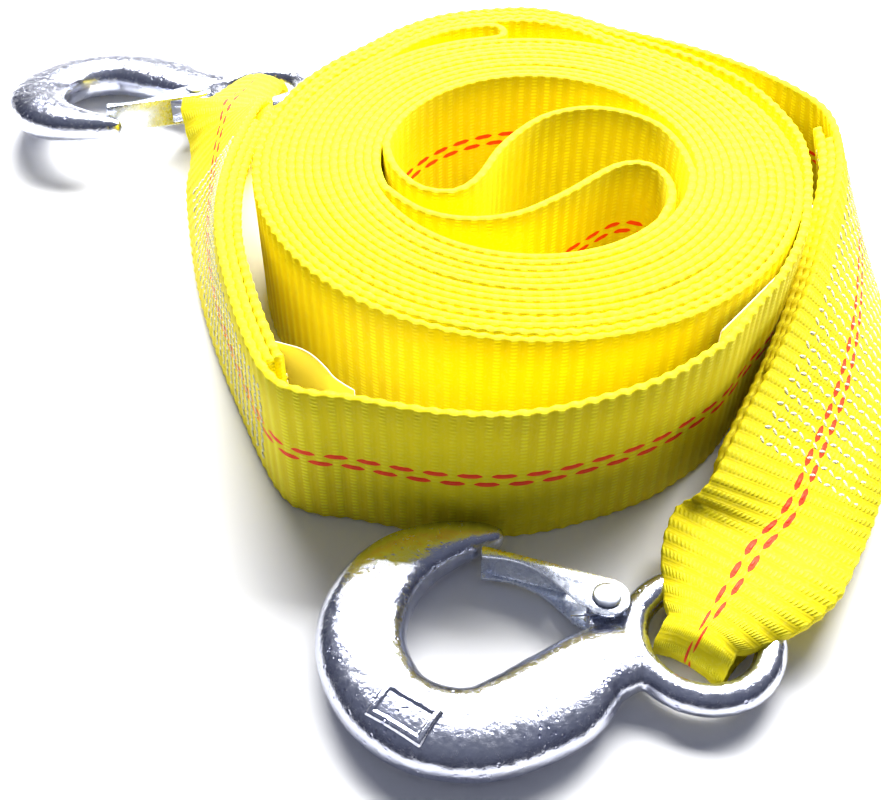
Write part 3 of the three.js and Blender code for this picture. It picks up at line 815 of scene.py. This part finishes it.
class SewLegs(bpy.types.Operator):
    """Sews each leg through its plies with rows of zigzag stitches"""
    bl_idname = "towstrap.sew_legs"
    bl_label = "Sew the legs"

    # the sewn run of each leg, in stations of its outer ply
    SEWN = {"front": (7.0, 19.9), "rear": (0.4, 14.6)}
    MARGIN = 18.9
    STEP = 2.7
    SLANT = 0.22
    REACH = 2.1

    def stitches(self, stations, start, end, row_pitch, side):
        """Ends of each stitch on one face of a ply, in rows across it."""
        part = refine(stations, lambda run, total: 1.0)
        across = normals(part)
        runs = [0.0]
        for p, q in zip(part, part[1:]):
            runs.append(runs[-1] + (q[0] - p[0]).length)
        lengths = [0.0]
        for p, q in zip(stations, stations[1:]):
            lengths.append(lengths[-1] + (q[0] - p[0]).length)

        def run_at(place):
            i = min(int(place), len(lengths) - 2)
            return lengths[i] + (lengths[i + 1] - lengths[i]) * (place - i)

        def spot(run, wide, lift):
            i = min(max(int(run / runs[-1] * (len(part) - 1)), 0), len(part) - 2)
            while i > 0 and runs[i] > run:
                i -= 1
            while i < len(part) - 2 and runs[i + 1] < run:
                i += 1
            w = min(1.0, max(0.0, (run - runs[i]) / max(1e-6, runs[i + 1] - runs[i])))
            middle, half, bow = (part[i][j].lerp(part[i + 1][j], w) for j in range(3))
            out = across[i].lerp(across[i + 1], w) * side
            t = wide / HALF_WEB
            return middle + half * t + bow * (t * t) + out * lift, out

        first, last = run_at(start), run_at(end)
        row = 0
        run = first
        rows = []
        while run < last:
            wide = -self.MARGIN
            k = row % 2
            while wide < self.MARGIN:
                ends = []
                for step in (k, k + 1):
                    u = wide + (step - k) * self.STEP
                    v = run - u * self.SLANT + (self.REACH if step % 2 else 0.0)
                    ends.append((v, u))
                rows.append([spot(v, u, settings("webbing").thickness / MM / 2 + 0.1) for v, u in ends])
                wide += self.STEP
                k += 1
            run += row_pitch
            row += 1
        return rows

    def execute(self, context):
        sewing = settings("sewing")
        thread = spun_polyester("sewing_thread", sewing.colour)
        radius = sewing.thread / MM / 2
        for end, parts in zip(("front", "rear"), legs()):
            bm = bmesh.new()
            start, stop = self.SEWN[end]
            row = None
            for plies, side in (("shaped", 1), ("inner", -1)):
                for (a, out_a), (b, out_b) in self.stitches(parts[plies], start, stop, sewing.row_pitch / MM, side):
                    if row is None:
                        row = bmesh.new()
                    along = b - a
                    out = (out_a + out_b).normalized()
                    across = along.cross(out).normalized()
                    turn = Matrix((along.normalized(), across, out)).transposed().to_4x4()
                    size = Matrix.Diagonal((along.length * 0.38, radius, radius * 0.6, 1))
                    bmesh.ops.create_uvsphere(row, u_segments=6, v_segments=5, radius=1,
                                              matrix=Matrix.Translation((a + b) / 2 + SHIFT) @ turn @ size
                                              @ Matrix.Rotation(math.pi / 2, 4, "Y"))
                    if len(row.verts) > ROW_VERTS:
                        join_in(bm, row)
                        row = None
            if row is not None:
                join_in(bm, row)
            finish_mesh(bm, end + "_stitching", thread, "webbing")
        return {"FINISHED"}


class SewLabels(bpy.types.Operator):
    """Sews a bare cloth label into each end of the coil"""
    bl_idname = "towstrap.sew_labels"
    bl_label = "Sew in the labels"

    def execute(self, context):
        label = settings("label")
        cloth = label_cloth("label_cloth", label.colour)
        middle = (LABEL_LOW + LABEL_HIGH) / 2
        lines = {"rear": [Vector((*p, middle)) for p in REAR_LABEL],
                 "front": [Vector((*around(*p).xy, middle)) for p in FRONT_LABEL]}
        for end, points in lines.items():
            half = (LABEL_HIGH - LABEL_LOW) / 2
            stations = refine([station(p, (0, 0, half)) for p in smooth(points, 8)], lambda run, total: 0.8)
            bm, length = ribbon(stations, label.thickness / MM, 0.0, 4.7, lambda run, total: 0.0)
            piece = finish_mesh(bm, end + "_cloth_label", cloth, "webbing", [end + "_label"])
        return {"FINISHED"}


def hook_forging(with_pad):
    """Shank, bowl, point, ring and lug in one skin, about the ring's middle."""
    rows, sides = 92, 28
    line = [Vector((x, y, 0)) for x, y, _, _ in HOOK_RUN]
    sizes = [Vector((w, h, 0)) for _, _, w, h in HOOK_RUN]
    last = len(HOOK_RUN) - 1

    def point(i, k):
        place = last * i / (rows - 1)
        p = catmull(line, place, False)
        ahead = catmull(line, min(last, place + 0.02), False)
        along = (ahead - catmull(line, max(0, place - 0.02), False)).normalized()
        size = catmull(sizes, place, False)
        a = 2 * math.pi * (k + 0.5) / sides
        c, d = (math.copysign(abs(x) ** SQUARENESS, x) for x in (math.cos(a), math.sin(a)))
        return Vector((p.x - along.y * size.x * c, p.y + along.x * size.x * c, size.y * d))

    bm = wrapped_grid(rows, sides, point)
    ring = bmesh.new()
    bmesh.ops.create_circle(ring, cap_ends=False, segments=20, radius=RING_BAR,
                            matrix=Matrix.Translation((RING_RADIUS, 0, 0)) @ Matrix.Rotation(math.pi / 2, 4, "X"))
    bmesh.ops.spin(ring, geom=ring.verts[:] + ring.edges[:], cent=(0, 0, 0), axis=(0, 0, 1), angle=2 * math.pi,
                   steps=72, use_merge=True)
    bmesh.ops.remove_doubles(ring, verts=ring.verts, dist=1e-3)
    bmesh.ops.recalc_face_normals(ring, faces=ring.faces)
    join_in(bm, ring)
    join_in(bm, plate([(-30, -2), (-18, -4), (-18.6, 10.5), (-21, 14), (-25, 14.8), (-28.6, 12.6), (-29.6, 9)],
                      -LUG_HALF, LUG_HALF))
    point_end = catmull(line, last, False)
    bmesh.ops.create_uvsphere(bm, u_segments=20, v_segments=12, radius=1,
                              matrix=Matrix.Translation(point_end) @ Matrix.Diagonal((2.2, 3.1, 3.4, 1)))
    bm = with_modifiers(bm, ("REMESH", {"mode": "VOXEL", "voxel_size": settings("hooks").fineness / MM}))
    for _ in range(6):
        bmesh.ops.smooth_vert(bm, verts=bm.verts, factor=0.5, use_axis_x=True, use_axis_y=True, use_axis_z=True)
    if with_pad:
        raise_pad(bm)
    bm.normal_update()
    for vert in bm.verts:
        vert.co += vert.normal * (0.1 * noise.noise(vert.co * 0.35) + 0.05 * noise.noise(vert.co * 1.1))
    return bm


PAD_MIDDLE = Vector((-77.4, -25.4))
PAD_TURN = math.radians(-33)
PAD_HALF = (7.9, 4.9)


def raise_pad(bm):
    """Lifts a plain framed rectangle out of the bowl's upper face."""
    turn = Matrix.Rotation(-PAD_TURN, 2)

    def reach(co):
        x, y = turn @ (co.xy - PAD_MIDDLE)
        return max(abs(x) - PAD_HALF[0], abs(y) - PAD_HALF[1])

    near = [e for e in bm.edges if all(v.co.z > 0 and reach(v.co) < 2.0 for v in e.verts)]
    bmesh.ops.subdivide_edges(bm, edges=near, cuts=2, use_grid_fill=True)
    bm.normal_update()
    for vert in bm.verts:
        if vert.co.z > 0:
            inside = reach(vert.co)
            rise = 0.85 * (1 - fade(inside, -0.4, 0.4)) - 0.45 * (1 - fade(inside, -1.9, -1.3))
            vert.co += vert.normal * rise


def each_hook():
    """Name, placement and body of the front hook, then of the rear one, which lies the other way up."""
    over = Matrix.Rotation(math.pi, 4, "X")
    shift = Matrix.Translation(SHIFT)
    return (("front", shift @ FRONT_PLACE, "front_hook_body", "front_latch_body"),
            ("rear", shift @ REAR_PLACE @ over, "rear_hook_body", "rear_latch_body"))


class ForgeHooks(bpy.types.Operator):
    """Forges the two eye slip hooks"""
    bl_idname = "towstrap.forge_hooks"
    bl_label = "Forge the hooks"

    def execute(self, context):
        hooks = settings("hooks")
        zinc = zinc_cast("forged_zinc", hooks.colour, hooks.pit_depth / MM, 0.15)
        for end, place, body, _ in each_hook():
            bm = hook_forging(end == "front")
            bmesh.ops.transform(bm, matrix=place, verts=bm.verts)
            finish_mesh(bm, end + "_forged_hook", zinc, body, [end + "_hook"])
        return {"FINISHED"}


class PressLatches(bpy.types.Operator):
    """Presses the two channel latches"""
    bl_idname = "towstrap.press_latches"
    bl_label = "Press the latches"

    def execute(self, context):
        hooks = settings("hooks")
        plated = zinc_cast("plated_sheet", hooks.pressed, 0.03, 0.2, coarse=False)
        lower = [Vector(p) for p in ((-57.2, 22.9, 0), (-52, 22.3, 0), (-47, 20.9, 0),
                                     (-41, 17.4, 0), (-36, 12.4, 0), (-30.9, 6.4, 0))]
        outline = [LATCH_TIP + Vector((0.4, 0.3, 0)), LATCH_TIP + Vector((-0.2, -0.3, 0))]
        outline += [catmull(lower, i / 4) for i in range(4 * (len(lower) - 1))]
        for i in range(21):
            a = math.radians(212 + i * 224 / 20)
            outline.append(PIVOT + Vector((math.cos(a), math.sin(a), 0)) * CHEEK_RADIUS)
        along = (outline[-1] - LATCH_TIP).normalized()
        inside = Vector((along.y, -along.x, 0))
        begin = LATCH_TIP - along * 4 + inside * SHEET
        corners = [(0, 0), (0, 40), (60, 40), (60, -6), (29, -6), (29, 0)]
        for end, place, _, body in each_hook():
            hollow = plate([begin + along * d + inside * e for d, e in corners],
                           -LATCH_HALF + SHEET, LATCH_HALF - SHEET)
            bm = cut_from(plate(outline, -LATCH_HALF, LATCH_HALF), hollow, post(PIVOT, RIVET_RADIUS + 0.35, -10, 10))
            softened(bm, 0.22)
            bmesh.ops.transform(bm, matrix=place, verts=bm.verts)
            finish_mesh(bm, end + "_pressed_latch", plated, body, [end + "_latch"], sharp=0.6)
        return {"FINISHED"}


class SetRivets(bpy.types.Operator):
    """Sets the domed rivet that each latch turns on"""
    bl_idname = "towstrap.set_rivets"
    bl_label = "Set the rivets"

    def execute(self, context):
        hooks = settings("hooks")
        satin = zinc_cast("rivet_zinc", hooks.pressed, 0.05, 0.26, coarse=False)
        rise = LATCH_HALF + PLY_GAP
        dome = [(RIVET_HEAD * math.cos(a), rise + 0.35 + HEAD_RISE * 0.7 * math.sin(a))
                for a in (math.pi / 2 * i / 8 for i in range(8))]
        rim = [(RIVET_RADIUS, rise), (RIVET_HEAD - 0.15, rise), (RIVET_HEAD, rise + 0.15)]
        upper = rim + dome + [(0, rise + 0.35 + HEAD_RISE * 0.7)]
        profile = [(r, -z) for r, z in reversed(upper)] + upper
        for end, place, body, _ in each_hook():
            bm = turned(profile)
            bmesh.ops.transform(bm, matrix=place @ Matrix.Translation(PIVOT), verts=bm.verts)
            finish_mesh(bm, end + "_domed_rivet", satin, body, [end + "_rivet"], sharp=0.7)
        return {"FINISHED"}


class WindSprings(bpy.types.Operator):
    """Winds the wire spring under each latch"""
    bl_idname = "towstrap.wind_springs"
    bl_label = "Wind the latch springs"

    WIRE = 0.36
    COIL = 3.4

    def execute(self, context):
        wire = zinc_cast("spring_wire", settings("hooks").pressed, 0.02, 0.18, coarse=False)
        low = LUG_HALF + 0.35 + self.WIRE
        high = LATCH_HALF - SHEET - 0.35 - self.WIRE
        turns = 1.75
        points = []
        for i in range(64):
            part = i / 63
            a = math.radians(-60) - 2 * math.pi * turns * (1 - part)
            turn = (self.COIL * math.cos(a), self.COIL * math.sin(a), high + (low - high) * part)
            points.append(PIVOT + Vector(turn))
        out = [Vector((-26.6, 6.2, low)), Vector((-30.5, 5.7, low)), Vector((-34.2, 5.2, low))]
        tail = [points[-1].lerp(out[0], 0.5) + Vector((0, -0.2, 0))] + out
        for end, place, body, _ in each_hook():
            bm = tube(points + tail, self.WIRE)
            bmesh.ops.transform(bm, matrix=place, verts=bm.verts)
            finish_mesh(bm, end + "_spring_wire", wire, body, [end + "_latch_spring"])
        return {"FINISHED"}


class SetStage(bpy.types.Operator):
    """Sets the pale floor, the soft lights and the camera"""
    bl_idname = "towstrap.set_stage"
    bl_label = "Set the stage"

    PITCH = 45.6
    EYE_HEIGHT = 0.274
    FOCAL, IMAGE_WIDTH, SENSOR = 1187.0, 881, 36.0
    KEY_PLACE = (0.15, 0.75, 0.8)
    KEY_SIZE = (1.3, 0.7)

    def execute(self, context):
        stage = settings("stage")
        bm = bmesh.new()
        bmesh.ops.create_grid(bm, x_segments=4, y_segments=4, size=4.0)
        mesh = bpy.data.meshes.new("studio_floor")
        bm.to_mesh(mesh)
        bm.free()
        mesh.materials.append(studio_floor("pale_floor", stage.floor))
        floor = bpy.data.objects.new("studio_floor", mesh)
        bpy.context.collection.objects.link(floor)

        light = bpy.data.lights.new("key_light", "AREA")
        light.shape, light.size, light.size_y = "RECTANGLE", *self.KEY_SIZE
        light.energy = stage.key_power
        lamp = bpy.data.objects.new("key_light", light)
        lamp.location = self.KEY_PLACE
        lamp.rotation_euler = (-Vector(self.KEY_PLACE)).to_track_quat("-Z", "Y").to_euler()
        bpy.context.collection.objects.link(lamp)

        world = bpy.data.worlds.new("studio")
        world.use_nodes = True
        tree = world.node_tree
        up = tree.nodes.new("ShaderNodeSeparateXYZ")
        tree.links.new(tree.nodes.new("ShaderNodeTexCoord").outputs["Generated"], up.inputs[0])
        sky = tree.nodes.new("ShaderNodeMix")
        sky.data_type = "RGBA"
        tree.links.new(up.outputs[2], sky.inputs[0])
        sky.inputs[6].default_value = (0.012, 0.012, 0.05, 1.0)
        sky.inputs[7].default_value = (0.35, 0.38, 0.5, 1.0)
        tree.links.new(sky.outputs[2], tree.nodes["Background"].inputs[0])
        tree.nodes["Background"].inputs[1].default_value = stage.fill
        context.scene.world = world
        context.scene.view_settings.view_transform = "Standard"

        lens = bpy.data.cameras.new("photo_camera")
        lens.sensor_fit, lens.sensor_width = "HORIZONTAL", self.SENSOR
        lens.lens = self.FOCAL / self.IMAGE_WIDTH * self.SENSOR
        lens.clip_start = 0.01
        camera = bpy.data.objects.new("photo_camera", lens)
        camera.location = (SHIFT.x * MM, SHIFT.y * MM, self.EYE_HEIGHT)
        camera.rotation_euler = (math.radians(90 - self.PITCH), 0, 0)
        bpy.context.collection.objects.link(camera)
        context.scene.camera = camera
        return {"FINISHED"}


GROUPS = {"webbing": WebbingSettings, "sewing": SewingSettings, "label": LabelSettings, "hooks": HookSettings,
          "stage": StageSettings}
STEPS = (SetStage, LayWebbing, AddDoubling, SewLegs, SewLabels, ForgeHooks, PressLatches, SetRivets, WindSprings)


class TowStrapPanel(bpy.types.Panel):
    """Lists the steps that build the tow strap"""
    bl_idname = "VIEW3D_PT_tow_strap"
    bl_label = "Tow strap"
    bl_space_type = "VIEW_3D"
    bl_region_type = "UI"
    bl_category = "Tow strap"

    def draw(self, context):
        for step in STEPS:
            self.layout.operator(step.bl_idname)
        for name, group in GROUPS.items():
            box = self.layout.box()
            for key in group.__annotations__:
                box.prop(settings(name), key)


def register():
    for name, group in GROUPS.items():
        bpy.utils.register_class(group)
        setattr(bpy.types.Scene, "tow_strap_" + name, bpy.props.PointerProperty(type=group))
    for made in (*STEPS, TowStrapPanel):
        bpy.utils.register_class(made)


def unregister():
    for made in (TowStrapPanel, *reversed(STEPS)):
        bpy.utils.unregister_class(made)
    for name, group in GROUPS.items():
        delattr(bpy.types.Scene, "tow_strap_" + name)
        bpy.utils.unregister_class(group)


def main():
    register()
    for step in STEPS:
        family, name = step.bl_idname.split(".")
        getattr(getattr(bpy.ops, family), name)()


if __name__ == "__main__":
    main()
